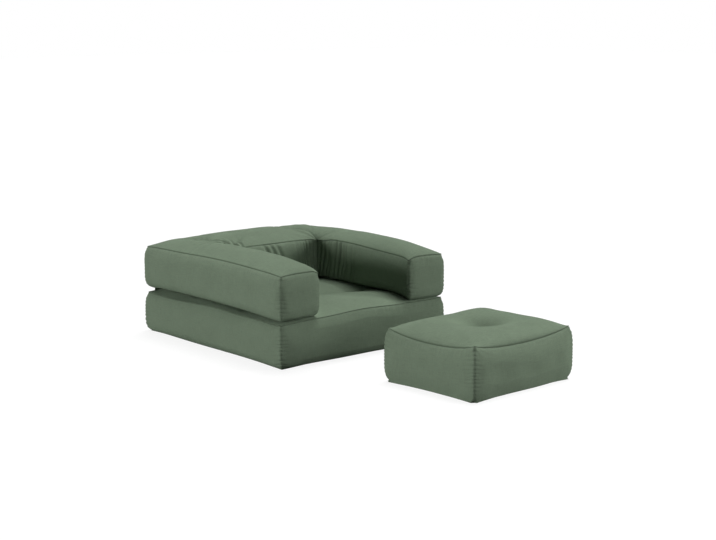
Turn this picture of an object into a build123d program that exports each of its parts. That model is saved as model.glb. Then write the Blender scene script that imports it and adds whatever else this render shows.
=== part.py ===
"""Chair bed of three tufted cushions: a seat cushion on the floor, a U-shaped cushion of arms and
back that lies on it and folds out over a cloth hinge at the rear, and a loose pouf in front.

Millimetres, +Z up. The open front faces -Y and the origin is on the floor under the middle of the
seat cushion. Each cushion is a sewn cover of panels over two halves of felt and a foam core, and
tied through by tuft cords.
"""

import math
import os

from build123d import *

# Seat cushion, measured from seam to seam
seat_width = 900
seat_depth = 1020
seat_seam_height = 187
seat_crown_rise = 40
seat_tuft_spacing_x = 384
seat_tuft_spacing_y = 382
seat_core_thickness = 110

# U-shaped cushion, as wide and as deep as the seat cushion under it
arms_seam_height = 395
arms_start_height = 190
arms_crown_rise = 52
arm_width = 184
back_depth = 352
arms_core_thickness = 110

# Pouf, turned a little and standing off the seat's front
pouf_width = 564
pouf_depth = 469
pouf_seam_height = 205
pouf_crown_rise = 45
pouf_core_thickness = 120
pouf_offset_x = 62
pouf_clear_of_seat = 400
pouf_turn_degrees = 3.4

# Walls shared by the three cushions
side_bulge = 18
notch_bulge = 6
side_draw = 4
corner_radius = 28
front_corner_radius = 26
notch_corner_radius = 44
felt_side_thickness = 26

# Cloth, cord and clearances
cloth = 1.5
seam_gap = 0.3
fill_gap = 0.6
core_gap = 0.3
tie_radius = 1.6
tie_gap = 0.4
knot_radius = 6
knot_thickness = 2.4
cord_sides = 8

# Tuft dimples
seat_dimple_radius = 60
seat_dimple_depth = 15
arms_dimple_radius = 60
arms_dimple_depth = 22
pouf_dimple_radius = 90
pouf_dimple_depth = 36
under_dimple_radius = 45
under_dimple_depth = 9

# Cloth hinge between the two rear bands, and its fold line's room behind them and over the floor
hinge_cloth_length = 800
fold_gap = 2
fold_lift = 1.2

# Reach of cutting and trimming bodies past what they trim
overrun = 40
band_cut_depth = 48

# Shares by hand: a wall's levels and how far it stands out at each
wall_height_shares = (0, 0.06, 0.2, 0.5, 0.8, 1, 1.3)
wall_bulge_shares = (-1.5, -0.5, 0.5, 1, 0.65, 0, -0.9)

# Shares by hand of the crown's rise over the seam, row by row from front to middle. Along a row they
# go from the outer edge to the middle, with each place where two arcs meet between the arcs' tops.
# Seat: edge, outer hump, valley, middle hump
seat_crown_shares = {
    "end": (-0.43, -0.1, -0.1, 0.1),
    "shoulder": (-0.38, 0.6, 0.65, 0.8),
    "hump": (-0.38, 0.87, 0.92, 1.08),
    "valley": (-0.38, 0.74, 0.66, 0.84),
    "middle": (-0.3, 0.87, 0.9, 1.03),
}
# Arms and back: edge, outer slope, peak, inner slope, notch side, middle
arms_crown_shares = {
    "end": (0.46, -0.7, -1, -0.9, -0.5, -0.45),
    "front shoulder": (-0.5, 0.45, 0.69, 0.48, -0.06, 0.02),
    "front": (-0.54, 0.65, 0.96, 0.71, 0.06, 0.17),
    "middle": (-0.38, 0.73, 1.02, 0.82, 0.31, 0.37),
    "notch": (-0.44, 0.64, 0.92, 0.75, 0.29, 0.19),
    "tuft": (-0.46, 0.56, 0.83, 0.84, 0.82, 0.92),
    "rear shoulder": (-0.33, 0.38, 0.58, 0.59, 0.56, 0.63),
    "rear": (-0.08, -0.18, -0.21, -0.2, -0.22, -0.19),
}
arms_peak_share = 0.3
# Pouf: edge, outer slope, shoulder, middle
pouf_crown_shares = {
    "end": (1.27, -0.04, -0.82, -1.18),
    "shoulder": (-0.38, 0.36, 0.53, 0.58),
    "quarter": (-1, 0.42, 0.82, 0.93),
    "middle": (-1.11, 0.38, 0.82, 0.96),
}
pouf_shoulder_share = 0.62
pouf_row_shares = {"shoulder": 0.7, "quarter": 0.35}

# The same for the underside of the arms and back, as shares of the seat's crown over its seam
rest_shares = {
    "front": (0.12, 0.15, 0.2, 0.33),
    "front shoulder": (0.5, 0.67, 0.86, 0.95),
    "hump": (0.79, 0.96, 1.1, 1.16),
    "middle": (0.85, 0.98, 1.08, 1.1),
    "rear shoulder": (0.56, 0.73, 0.86, 0.95),
    "rear": (0.22, 0.29, 0.32, 0.42),
}

# Places that several pieces share
half_width = seat_width / 2
half_depth = seat_depth / 2
notch_half_width = half_width - arm_width
notch_end = half_depth - back_depth
arms_top = arms_seam_height + arms_crown_rise * max(max(row) for row in arms_crown_shares.values())
arms_peak_x = notch_half_width + arm_width * arms_peak_share
seat_tuft_x = seat_tuft_spacing_x / 2
seat_tuft_y = seat_tuft_spacing_y / 2
arms_tuft_y = half_depth - back_depth / 2
fill_inset = cloth + fill_gap
fold_y = half_depth + side_bulge + fold_gap
fold_z = arms_top / 2 + fold_lift
pouf_y = -half_depth - pouf_clear_of_seat - pouf_depth / 2

floor_plane = Plane.XY
pouf_plane = Plane(
    origin=(pouf_offset_x, pouf_y, 0),
    x_dir=(math.cos(math.radians(pouf_turn_degrees)), math.sin(math.radians(pouf_turn_degrees)), 0),
    z_dir=(0, 0, 1),
)

seat_tufts = [(x, y) for x in (-seat_tuft_x, seat_tuft_x) for y in (-seat_tuft_y, seat_tuft_y)]
arms_tufts = [(x, arms_tuft_y) for x in (-notch_half_width, notch_half_width)]
pouf_tufts = [(0, 0)]


def upright(base, x, y):
    """The upright section plane across a cushion, with its origin at a place on the floor."""
    return Plane(origin=base.from_local_coords((x, y, 0)), x_dir=base.x_dir, z_dir=-base.y_dir)


def wall_levels(start, seam_height):
    """Height and bulge share of each outline that a cushion's wall is lofted through."""
    for height_share, bulge_share in zip(wall_height_shares, wall_bulge_shares):
        yield start + (seam_height - start) * height_share, bulge_share


def box_walls(base, width, depth, seam_height, inset):
    """A four-sided cushion out to its walls, with sides drawn in between round corners."""
    with BuildPart() as walls:
        for height, bulge_share in wall_levels(0, seam_height):
            out = side_bulge * bulge_share - inset
            x = width / 2 + out
            y = depth / 2 + out
            with BuildSketch(base.offset(height)):
                with BuildLine():
                    ThreePointArc((-x, -y), (0, -y + side_draw), (x, -y))
                    ThreePointArc((x, -y), (x - side_draw, 0), (x, y))
                    ThreePointArc((x, y), (0, y - side_draw), (-x, y))
                    ThreePointArc((-x, y), (-x + side_draw, 0), (-x, -y))
                make_face()
                fillet(vertices(), corner_radius - inset)
        loft()
    return walls.part


def arms_walls(inset):
    """The U-shaped cushion out to its walls: two arms, the back and the notch between them."""
    with BuildPart() as walls:
        for height, bulge_share in wall_levels(arms_start_height, arms_seam_height):
            out = side_bulge * bulge_share - inset
            notch_out = notch_bulge * bulge_share - inset
            x = half_width + out
            y = half_depth + out
            inner_x = notch_half_width - notch_out
            inner_y = notch_end - notch_out
            with BuildSketch(floor_plane.offset(height)):
                with BuildLine():
                    Polyline((-x, -y), (-inner_x, -y), (-inner_x, inner_y), (inner_x, inner_y))
                    Polyline((inner_x, inner_y), (inner_x, -y), (x, -y))
                    ThreePointArc((x, -y), (x - side_draw, 0), (x, y))
                    ThreePointArc((x, y), (0, y - side_draw), (-x, y))
                    ThreePointArc((-x, y), (-x + side_draw, 0), (-x, -y))
                make_face()
                corners = vertices()
                notch_corners = corners.filter_by(lambda v: abs(v.Y - inner_y) < overrun)
                front_corners = corners.group_by(Axis.Y)[0]
                rear_corners = corners.group_by(Axis.Y)[-1]
                fillet(rear_corners, corner_radius - inset)
                fillet(front_corners, front_corner_radius - inset)
                fillet(notch_corners, notch_corner_radius + inset)
        loft()
    return walls.part


def crown(base, half_size_x, breaks, seam_height, rise, rows):
    """The space under a crowned top: a loft from front to rear of sections made of arcs.

    breaks are the places between the edge and the middle where two arcs meet. rows holds (y, shares),
    with a share of the rise for the edge, then one for the top of each arc and for each break.
    """
    places = [half_size_x + overrun, *breaks]
    with BuildPart() as body:
        for y, shares in rows:
            heights = [seam_height + rise * share for share in shares]
            ends = list(zip(places, heights[0:-1:2]))
            tops = heights[1:-1:2]
            with BuildSketch(upright(base, 0, y)):
                with BuildLine():
                    for side in (-1, 1):
                        for (x_out, z_out), top, (x_in, z_in) in zip(ends, tops, ends[1:]):
                            middle_x = (x_out + x_in) / 2
                            ThreePointArc((side * x_out, z_out), (side * middle_x, top), (side * x_in, z_in))
                    x_last, z_last = ends[-1]
                    ThreePointArc((-x_last, z_last), (0, heights[-1]), (x_last, z_last))
                    edge_x, edge_z = ends[0]
                    Polyline((edge_x, edge_z), (edge_x, -overrun), (-edge_x, -overrun), (-edge_x, edge_z))
                make_face()
        loft()
    return body.part


def dimples(base, places, radius, low, rim, end):
    """Tools for tufts: a round cup from the height low in the middle to rim at the radius, then a
    cone on to the height end, above the rim for a top dimple and below it for an underside's."""
    with BuildPart() as tools:
        for x, y in places:
            with BuildSketch(upright(base, x, y)):
                with BuildLine():
                    cup = TangentArc((0, low), (radius, rim), tangent=(1, 0))
                    slope = cup % 1
                    end_radius = radius + (end - rim) * slope.X / slope.Y
                    Polyline((radius, rim), (end_radius, end), (0, end), (0, low))
                make_face()
            revolve(axis=Axis(base.from_local_coords((x, y, 0)), base.z_dir))
    return tools.part


def columns(base, places, radius, low, high):
    """Upright round bars at the tufts, for the holes that the cords pass through."""
    with BuildPart() as bars:
        with BuildSketch(base.offset(low)):
            with Locations(*places):
                Circle(radius)
        extrude(amount=high - low)
    return bars.part


def slab(base, width, depth, low, high):
    """A plain block, for foam and for trimming."""
    with BuildPart() as block:
        with BuildSketch(base.offset(low)):
            Rectangle(width, depth)
        extrude(amount=high - low)
    return block.part


def lifted(shape, height):
    """A copy of a shape, moved up by a height."""
    return shape.moved(Location((0, 0, height)))


def prism(base, points, high):
    """An upright prism on an outline, from under the floor to a height."""
    with BuildPart() as block:
        with BuildSketch(base.offset(-overrun)):
            with BuildLine():
                Polyline(*points, close=True)
            make_face()
        extrude(amount=high + overrun)
    return block.part


def mitred(width, depth, side):
    """The outline that takes one band out of a four-sided ring of cloth, mitred at its corners."""
    x_out = width / 2 + overrun
    y_out = depth / 2 + overrun
    x_in = width / 2 - band_cut_depth
    y_in = depth / 2 - band_cut_depth
    return {
        "front": [(-x_out, -y_out), (x_out, -y_out), (x_in, -y_in), (-x_in, -y_in)],
        "rear": [(x_out, y_out), (-x_out, y_out), (-x_in, y_in), (x_in, y_in)],
        "left": [(-x_out, y_out), (-x_out, -y_out), (-x_in, -y_in), (-x_in, y_in)],
        "right": [(x_out, -y_out), (x_out, y_out), (x_in, y_in), (x_in, -y_in)],
    }[side]


def save(piece, label):
    """Names a finished piece and writes it to its file."""
    piece.part.label = label
    export_step(piece.part, f"parts/{label}.step")


def box_cushion(name, base, width, depth, seam_height, core_thickness, under, tufts, knot_height):
    """Cover panels, felt halves, foam core and tuft cords of a four-sided cushion.

    under is the space under its crowned and dimpled top, and knot_height where its cords end there.
    """
    outer = box_walls(base, width, depth, seam_height, 0)
    inner = box_walls(base, width, depth, seam_height, cloth)
    filling = box_walls(base, width, depth, seam_height, fill_inset)
    high = seam_height * wall_height_shares[-1]
    reach = 2 * overrun
    half_height = seam_height / 2
    core_width = width - 2 * felt_side_thickness
    core_depth = depth - 2 * felt_side_thickness
    core_low = half_height - core_thickness / 2
    core_high = half_height + core_thickness / 2
    holes = columns(base, tufts, tie_radius + tie_gap, -overrun, high)
    hollow = dimples(base, tufts, under_dimple_radius, under_dimple_depth, 0, -overrun)
    floor_cloth = slab(base, width + reach, depth + reach, -overrun, cloth)
    floor_seam = slab(base, width + reach, depth + reach, -overrun, cloth + seam_gap)
    floor_fill = slab(base, width + reach, depth + reach, -overrun, fill_inset)
    lower_half = slab(base, width + reach, depth + reach, -overrun, half_height)
    pocket = slab(
        base, core_width + 2 * core_gap, core_depth + 2 * core_gap, core_low - core_gap, core_high + core_gap
    )

    with BuildPart() as top_panel:
        add(outer)
        add(under, mode=Mode.INTERSECT)
        add(lifted(under, -cloth), mode=Mode.SUBTRACT)
        add(holes, mode=Mode.SUBTRACT)
    save(top_panel, f"{name}_top_panel")

    with BuildPart() as bottom_panel:
        add(floor_cloth)
        add(lifted(hollow, cloth))
        add(outer, mode=Mode.INTERSECT)
        add(hollow, mode=Mode.SUBTRACT)
        add(holes, mode=Mode.SUBTRACT)
    save(bottom_panel, f"{name}_bottom_panel")

    for side in ("front", "left", "right", "rear"):
        with BuildPart() as band:
            add(outer)
            add(inner, mode=Mode.SUBTRACT)
            add(lifted(under, -cloth - seam_gap), mode=Mode.INTERSECT)
            add(floor_seam, mode=Mode.SUBTRACT)
            add(prism(base, mitred(width, depth, side), high), mode=Mode.INTERSECT)
        save(band, f"{name}_{side}_band")

    with BuildPart() as foam_core:
        add(slab(base, core_width, core_depth, core_low, core_high))
        add(holes, mode=Mode.SUBTRACT)
    save(foam_core, f"{name}_foam_core")

    with BuildPart() as upper_felt:
        add(filling)
        add(lifted(under, -fill_inset), mode=Mode.INTERSECT)
        add(lower_half, mode=Mode.SUBTRACT)
        add(pocket, mode=Mode.SUBTRACT)
        add(holes, mode=Mode.SUBTRACT)
    save(upper_felt, f"{name}_upper_felt")

    with BuildPart() as lower_felt:
        add(filling)
        add(lower_half, mode=Mode.INTERSECT)
        add(floor_fill, mode=Mode.SUBTRACT)
        add(lifted(hollow, fill_inset), mode=Mode.SUBTRACT)
        add(pocket, mode=Mode.SUBTRACT)
        add(holes, mode=Mode.SUBTRACT)
    save(lower_felt, f"{name}_lower_felt")

    under_knot = under_dimple_depth - tie_gap
    tie_cords(f"{name}_tuft_ties", base, tufts, under_knot, knot_height + tie_gap)


def tie_cords(label, base, places, low, high):
    """Tuft cords with a knot at each end: low and high are the faces that the knots bear on."""
    knots = [(low - knot_thickness, knot_thickness, knot_radius), (high, knot_thickness, knot_radius)]
    with BuildPart() as ties:
        for bottom, length, radius in [(low, high - low, tie_radius), *knots]:
            with BuildSketch(base.offset(bottom)):
                with Locations(*places):
                    RegularPolygon(radius, cord_sides)
            extrude(amount=length)
    save(ties, label)


os.makedirs("parts", exist_ok=True)

# Seat cushion
end_y = half_depth + overrun
hump_y = (half_depth + seat_tuft_y) / 2
shoulder_y = (end_y + hump_y) / 2
seat_rows = [
    (-end_y, seat_crown_shares["end"]),
    (-shoulder_y, seat_crown_shares["shoulder"]),
    (-hump_y, seat_crown_shares["hump"]),
    (-seat_tuft_y, seat_crown_shares["valley"]),
    (0, seat_crown_shares["middle"]),
    (seat_tuft_y, seat_crown_shares["valley"]),
    (hump_y, seat_crown_shares["hump"]),
    (shoulder_y, seat_crown_shares["shoulder"]),
    (end_y, seat_crown_shares["end"]),
]
seat_plain_top = crown(
    floor_plane, half_width, [seat_tuft_x], seat_seam_height, seat_crown_rise, seat_rows
)
seat_tuft_rim = seat_seam_height + seat_crown_rise * seat_crown_shares["valley"][2]
seat_tuft_low = seat_tuft_rim - seat_dimple_depth
seat_dimples = dimples(
    floor_plane, seat_tufts, seat_dimple_radius, seat_tuft_low, seat_tuft_rim, seat_tuft_rim + overrun
)
seat_under = seat_plain_top - seat_dimples
box_cushion(
    "seat",
    floor_plane,
    seat_width,
    seat_depth,
    seat_seam_height,
    seat_core_thickness,
    seat_under,
    seat_tufts,
    seat_tuft_low,
)

# Pouf
pouf_end_y = pouf_depth / 2 + overrun
pouf_shoulder_y = pouf_end_y * pouf_row_shares["shoulder"]
pouf_quarter_y = pouf_end_y * pouf_row_shares["quarter"]
pouf_shoulder_x = pouf_width / 2 * pouf_shoulder_share
pouf_rows = [
    (-pouf_end_y, pouf_crown_shares["end"]),
    (-pouf_shoulder_y, pouf_crown_shares["shoulder"]),
    (-pouf_quarter_y, pouf_crown_shares["quarter"]),
    (0, pouf_crown_shares["middle"]),
    (pouf_quarter_y, pouf_crown_shares["quarter"]),
    (pouf_shoulder_y, pouf_crown_shares["shoulder"]),
    (pouf_end_y, pouf_crown_shares["end"]),
]
pouf_plain_top = crown(
    pouf_plane, pouf_width / 2, [pouf_shoulder_x], pouf_seam_height, pouf_crown_rise, pouf_rows
)
pouf_tuft_rim = pouf_seam_height + pouf_crown_rise * pouf_crown_shares["middle"][-1]
pouf_tuft_low = pouf_tuft_rim - pouf_dimple_depth
pouf_dimples = dimples(
    pouf_plane, pouf_tufts, pouf_dimple_radius, pouf_tuft_low, pouf_tuft_rim, pouf_tuft_rim + overrun
)
pouf_under = pouf_plain_top - pouf_dimples
box_cushion(
    "pouf",
    pouf_plane,
    pouf_width,
    pouf_depth,
    pouf_seam_height,
    pouf_core_thickness,
    pouf_under,
    pouf_tufts,
    pouf_tuft_low,
)

# U-shaped cushion: the spaces that shape it
arms_rows = [
    (-end_y, arms_crown_shares["end"]),
    (overrun - half_depth, arms_crown_shares["front shoulder"]),
    (-hump_y, arms_crown_shares["front"]),
    (-seat_tuft_y / 2, arms_crown_shares["middle"]),
    (notch_end, arms_crown_shares["notch"]),
    (arms_tuft_y, arms_crown_shares["tuft"]),
    ((arms_tuft_y + end_y) / 2, arms_crown_shares["rear shoulder"]),
    (end_y, arms_crown_shares["rear"]),
]
arms_breaks = [arms_peak_x, notch_half_width]
arms_plain_top = crown(
    floor_plane, half_width, arms_breaks, arms_seam_height, arms_crown_rise, arms_rows
)
arms_tuft_rim = arms_seam_height + arms_crown_rise * arms_crown_shares["tuft"][4]
arms_tuft_low = arms_tuft_rim - arms_dimple_depth
arms_dimples = dimples(
    floor_plane, arms_tufts, arms_dimple_radius, arms_tuft_low, arms_tuft_rim, arms_tuft_rim + overrun
)
arms_under = arms_plain_top - arms_dimples
rest_rows = [
    (-end_y, rest_shares["front"]),
    (-shoulder_y, rest_shares["front shoulder"]),
    (-hump_y, rest_shares["hump"]),
    (0, rest_shares["middle"]),
    (hump_y, rest_shares["hump"]),
    (shoulder_y, rest_shares["rear shoulder"]),
    (end_y, rest_shares["rear"]),
]
rest = crown(
    floor_plane, half_width, [notch_half_width], seat_seam_height, seat_crown_rise, rest_rows
)
rest_rim = seat_seam_height + seat_crown_rise * rest_shares["hump"][2]
arms_hollow_high = rest_rim + under_dimple_depth
arms_hollow = dimples(
    floor_plane, arms_tufts, under_dimple_radius, arms_hollow_high, rest_rim, rest_rim - overrun
)
below_face = rest + arms_hollow

arms_outer = arms_walls(0)
arms_inner = arms_walls(cloth)
arms_filling = arms_walls(fill_inset)
arms_high = arms_seam_height * wall_height_shares[-1]
arms_half_height = (rest_rim + arms_seam_height) / 2
arms_core_low = arms_half_height - arms_core_thickness / 2
arms_core_high = arms_half_height + arms_core_thickness / 2
arms_holes = columns(floor_plane, arms_tufts, tie_radius + tie_gap, -overrun, arms_high)
arms_lower_half = slab(
    floor_plane, seat_width + 2 * overrun, seat_depth + 2 * overrun, -overrun, arms_half_height
)

with BuildPart() as arms_top_panel:
    add(arms_outer)
    add(arms_under, mode=Mode.INTERSECT)
    add(lifted(arms_under, -cloth), mode=Mode.SUBTRACT)
    add(arms_holes, mode=Mode.SUBTRACT)
save(arms_top_panel, "arms_top_panel")

with BuildPart() as arms_bottom_panel:
    add(arms_outer)
    add(lifted(below_face, cloth), mode=Mode.INTERSECT)
    add(below_face, mode=Mode.SUBTRACT)
    add(arms_holes, mode=Mode.SUBTRACT)
save(arms_bottom_panel, "arms_bottom_panel")

with BuildPart() as arms_ring:
    add(arms_outer)
    add(arms_inner, mode=Mode.SUBTRACT)
    add(lifted(arms_under, -cloth - seam_gap), mode=Mode.INTERSECT)
    add(lifted(below_face, cloth + seam_gap), mode=Mode.SUBTRACT)

# Outlines that part the ring of cloth into its bands, mitred at every corner
x_out = half_width + overrun
y_out = half_depth + overrun
x_in = half_width - band_cut_depth
y_in = half_depth - band_cut_depth
notch_out = notch_half_width - overrun
notch_in = notch_half_width + band_cut_depth
arm_front = [(-x_out, -y_out), (-notch_out, -y_out), (-notch_in, -y_in), (-x_in, -y_in)]
inner_notch = [(-notch_out, -y_out), (-notch_in, -y_in), (-notch_in, notch_end + band_cut_depth)]
arms_bands = {
    "left_arm_outer_band": mitred(seat_width, seat_depth, "left"),
    "right_arm_outer_band": mitred(seat_width, seat_depth, "right"),
    "back_outer_band": mitred(seat_width, seat_depth, "rear"),
    "left_arm_front_panel": arm_front,
    "right_arm_front_panel": [(-x, y) for x, y in arm_front],
    "inner_band": inner_notch + [(-x, y) for x, y in reversed(inner_notch)],
}
for label, outline in arms_bands.items():
    with BuildPart() as arms_band:
        add(arms_ring.part)
        add(prism(floor_plane, outline, arms_high), mode=Mode.INTERSECT)
    save(arms_band, label)

# U-shaped cushion: three foam blocks, the two in the arms butted against the one in the back
core_joint_y = notch_end + felt_side_thickness
arm_core_front = -half_depth + felt_side_thickness
arm_core_width = arm_width - 2 * felt_side_thickness
arm_core_x = half_width - arm_width / 2
back_core_rear = half_depth - felt_side_thickness
back_core_width = seat_width - 2 * felt_side_thickness
for label, middle_x in (("left_arm_foam_core", -arm_core_x), ("right_arm_foam_core", arm_core_x)):
    with BuildPart() as arm_core:
        with BuildSketch(floor_plane.offset(arms_core_low)):
            with Locations((middle_x, (arm_core_front + core_joint_y) / 2)):
                Rectangle(arm_core_width, core_joint_y - arm_core_front)
        extrude(amount=arms_core_thickness)
    save(arm_core, label)

with BuildPart() as back_core:
    with BuildSketch(floor_plane.offset(arms_core_low)):
        with Locations((0, (core_joint_y + back_core_rear) / 2)):
            Rectangle(back_core_width, back_core_rear - core_joint_y)
    extrude(amount=arms_core_thickness)
    add(arms_holes, mode=Mode.SUBTRACT)
save(back_core, "back_foam_core")

with BuildPart() as arms_pocket:
    with BuildSketch(floor_plane.offset(arms_core_low - core_gap)):
        with BuildLine():
            x = back_core_width / 2 + core_gap
            inner_x = x - arm_core_width - 2 * core_gap
            front_y = arm_core_front - core_gap
            joint_y = core_joint_y - core_gap
            rear_y = back_core_rear + core_gap
            Polyline((-x, front_y), (-inner_x, front_y), (-inner_x, joint_y), (inner_x, joint_y))
            Polyline((inner_x, joint_y), (inner_x, front_y), (x, front_y), (x, rear_y))
            Polyline((x, rear_y), (-x, rear_y), (-x, front_y))
        make_face()
    extrude(amount=arms_core_thickness + 2 * core_gap)

with BuildPart() as arms_upper_felt:
    add(arms_filling)
    add(lifted(arms_under, -fill_inset), mode=Mode.INTERSECT)
    add(arms_lower_half, mode=Mode.SUBTRACT)
    add(arms_pocket.part, mode=Mode.SUBTRACT)
    add(arms_holes, mode=Mode.SUBTRACT)
save(arms_upper_felt, "arms_upper_felt")

with BuildPart() as arms_lower_felt:
    add(arms_filling)
    add(arms_lower_half, mode=Mode.INTERSECT)
    add(lifted(below_face, fill_inset), mode=Mode.SUBTRACT)
    add(arms_pocket.part, mode=Mode.SUBTRACT)
    add(arms_holes, mode=Mode.SUBTRACT)
save(arms_lower_felt, "arms_lower_felt")

tie_cords(
    "arms_tuft_ties", floor_plane, arms_tufts, arms_hollow_high - tie_gap, arms_tuft_low + tie_gap
)

# Cloth hinge: a strip bowed over the crease, from the seat's rear band up to that of the back. It
# touches each at a level that the wall is lofted through.
low_bulge_share = wall_bulge_shares[4]
high_bulge_share = wall_bulge_shares[2]
hinge_low_z = seat_seam_height * wall_height_shares[4]
hinge_high_z = arms_start_height + (arms_seam_height - arms_start_height) * wall_height_shares[2]
hinge_end_share = hinge_cloth_length / (half_width + half_width)
hinge_stand = half_depth - side_draw * (1 - hinge_end_share**2) + seam_gap + cloth / 2
with BuildPart() as hinge_cloth:
    with BuildSketch(Plane.YZ.offset(-hinge_cloth_length / 2)):
        with BuildLine():
            ThreePointArc(
                (hinge_stand + side_bulge * low_bulge_share, hinge_low_z),
                (fold_y - fold_gap - cloth, (hinge_low_z + hinge_high_z) / 2),
                (hinge_stand + side_bulge * high_bulge_share, hinge_high_z),
            )
        trace(line_width=cloth)
    extrude(amount=hinge_cloth_length)
save(hinge_cloth, "hinge_cloth")
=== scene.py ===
"""Looks of the chair bed: three tufted cushions in one plain green cloth.

Each cushion is one closed sewn cover, made as a grid of cloth over the plan of its CAD solids: a
crowned top, walls that bulge between their seams, and an underside. A cloth simulation then fills
the cover with a little air. Sizes are in metres, and the tables of heights are in millimetres.
"""

import math

import bpy
import numpy as np
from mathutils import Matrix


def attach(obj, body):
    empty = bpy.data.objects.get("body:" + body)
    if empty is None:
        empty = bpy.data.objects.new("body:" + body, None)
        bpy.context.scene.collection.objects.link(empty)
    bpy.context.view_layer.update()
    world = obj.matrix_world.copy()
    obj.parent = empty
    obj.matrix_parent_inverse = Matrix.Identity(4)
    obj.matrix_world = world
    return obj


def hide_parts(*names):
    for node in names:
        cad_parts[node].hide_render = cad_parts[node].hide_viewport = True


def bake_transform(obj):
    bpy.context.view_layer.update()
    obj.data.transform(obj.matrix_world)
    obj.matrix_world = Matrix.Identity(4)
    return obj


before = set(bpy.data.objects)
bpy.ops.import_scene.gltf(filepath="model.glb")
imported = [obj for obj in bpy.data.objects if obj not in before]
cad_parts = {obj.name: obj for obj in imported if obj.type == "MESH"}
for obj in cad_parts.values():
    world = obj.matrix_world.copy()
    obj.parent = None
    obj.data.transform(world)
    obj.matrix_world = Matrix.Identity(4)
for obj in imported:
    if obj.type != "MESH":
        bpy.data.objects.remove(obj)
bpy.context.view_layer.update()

# Half sizes of the seat and the U, and the notch in the U: its half width and its rear wall's place
HALF_WIDTH = 0.45
HALF_DEPTH = 0.51
NOTCH_X = 0.266
NOTCH_Y = 0.158

# The pouf's half sizes, its middle in plan and its turn
POUF_X = 0.282
POUF_Y = 0.2345
POUF_PLACE = (0.062, -1.1445)
POUF_TURN = math.radians(3.4)


# Curves, waves and grid lines


def hermite(knots, values, at):
    """Smooth curve through values at knots. values is (K,) or (K, N) for one row of N per knot."""
    knots = np.asarray(knots, float)
    values = np.asarray(values, float)
    if values.ndim == 1:
        values = np.repeat(values[:, None], len(at), 1)
    steps = np.diff(knots)[:, None]
    slopes = np.diff(values, axis=0) / steps
    tangents = np.zeros_like(values)
    tangents[0], tangents[-1] = slopes[0], slopes[-1]
    tangents[1:-1] = (slopes[:-1] * steps[1:] + slopes[1:] * steps[:-1]) / (steps[:-1] + steps[1:])
    at = np.clip(at, knots[0], knots[-1])
    i = np.clip(np.searchsorted(knots, at) - 1, 0, len(knots) - 2)
    n = np.arange(len(at))
    h = knots[i + 1] - knots[i]
    t = (at - knots[i]) / h
    a, b = values[i, n], values[i + 1, n]
    ta, tb = tangents[i, n] * h, tangents[i + 1, n] * h
    return (
        a * (2 * t**3 - 3 * t**2 + 1) + ta * (t**3 - 2 * t**2 + t)
        + b * (3 * t**2 - 2 * t**3) + tb * (t**3 - t**2)
    )


def surface(cols, rows, table, x, y):
    """Smooth height over a table in millimetres, one line of it per row from front to rear."""
    lines = np.array([hermite(np.array(cols) / 1000, np.array(line) / 1000, x) for line in table])
    return hermite(np.array(rows) / 1000, lines, y)


def waves(x, y, length, seed, count=7):
    """Even random waves of about one length over a plane, from -1 to 1."""
    random = np.random.default_rng(seed)
    total = np.zeros_like(x)
    for _ in range(count):
        angle, phase = random.uniform(0, 2 * math.pi, 2)
        k = 2 * math.pi / (length * random.uniform(0.7, 1.4))
        total += np.sin(k * (x * math.cos(angle) + y * math.sin(angle)) + phase)
    return total / count * 1.4


def bell(d, width):
    """A round bump: 1 at zero and nearly 0 two widths away."""
    return np.exp(-((d / width) ** 2))


def fade(d, length):
    """A peak that falls off on both sides: 1 at zero and 0.37 one length away."""
    return np.exp(-np.abs(d) / length)


def rising(d, reach):
    """0 at a line, rising evenly to 1 at reach from it."""
    return np.clip(d / reach, 0, 1)


def spaced(start, end, step, fine):
    """Grid lines from start to end: close together near both ends, then even."""
    length = end - start
    low = [f for f in fine if f < length / 2 - step * 0.4]
    rest = length - 2 * low[-1]
    count = max(2, round(rest / step))
    inner = low[-1] + rest * np.arange(1, count) / count
    return start + np.concatenate([low, inner, [length - f for f in reversed(low)]])


# Places of the fine grid lines beside an edge, and the even step between them and the next edge
FINE = (0, 0.0014, 0.0034, 0.0062, 0.0096, 0.0138, 0.019, 0.025, 0.032)
STEP = 0.0085


def joined(*marks, steps=(STEP,)):
    """Grid lines through several marks, each stretch with its own step."""
    steps = steps * (len(marks) - 1) if len(steps) == 1 else steps
    parts = [spaced(a, b, step, FINE) for a, b, step in zip(marks, marks[1:], steps)]
    return np.concatenate([p if i == 0 else p[1:] for i, p in enumerate(parts)])


# A cushion's cover

# The wall's section from the top seam to the bottom one: share of the height, share of the way in
# to the bottom seam, and share of the bulge
SECTION = np.array([
    (1, 0, 0), (0.95, 0, 0.38), (0.86, 0, 0.68), (0.72, 0, 0.92), (0.54, 0, 1), (0.36, 0, 1),
    (0.22, 0, 0.96), (0.13, 0, 0.86), (0.06, 0.08, 0.66), (0.02, 0.35, 0.38), (0, 1, 0),
])

# A typical inset and bulge, which the rows down a wall are spaced by
ROW_INSET = 0.03
ROW_BULGE = 0.014
WALL_FINE = FINE[:6]


def wall_section(height, rows):
    """Rows of the wall's section, close together near the seams."""
    fall, inward, out = np.diff(SECTION, axis=0).T
    steps = np.hypot(fall * height, inward * ROW_INSET + out * ROW_BULGE)
    length = np.concatenate([[0], np.cumsum(steps)])
    at = spaced(0, length[-1], length[-1] / rows, WALL_FINE)
    return at, np.array([hermite(length, SECTION[:, i], at) for i in range(3)])


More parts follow.
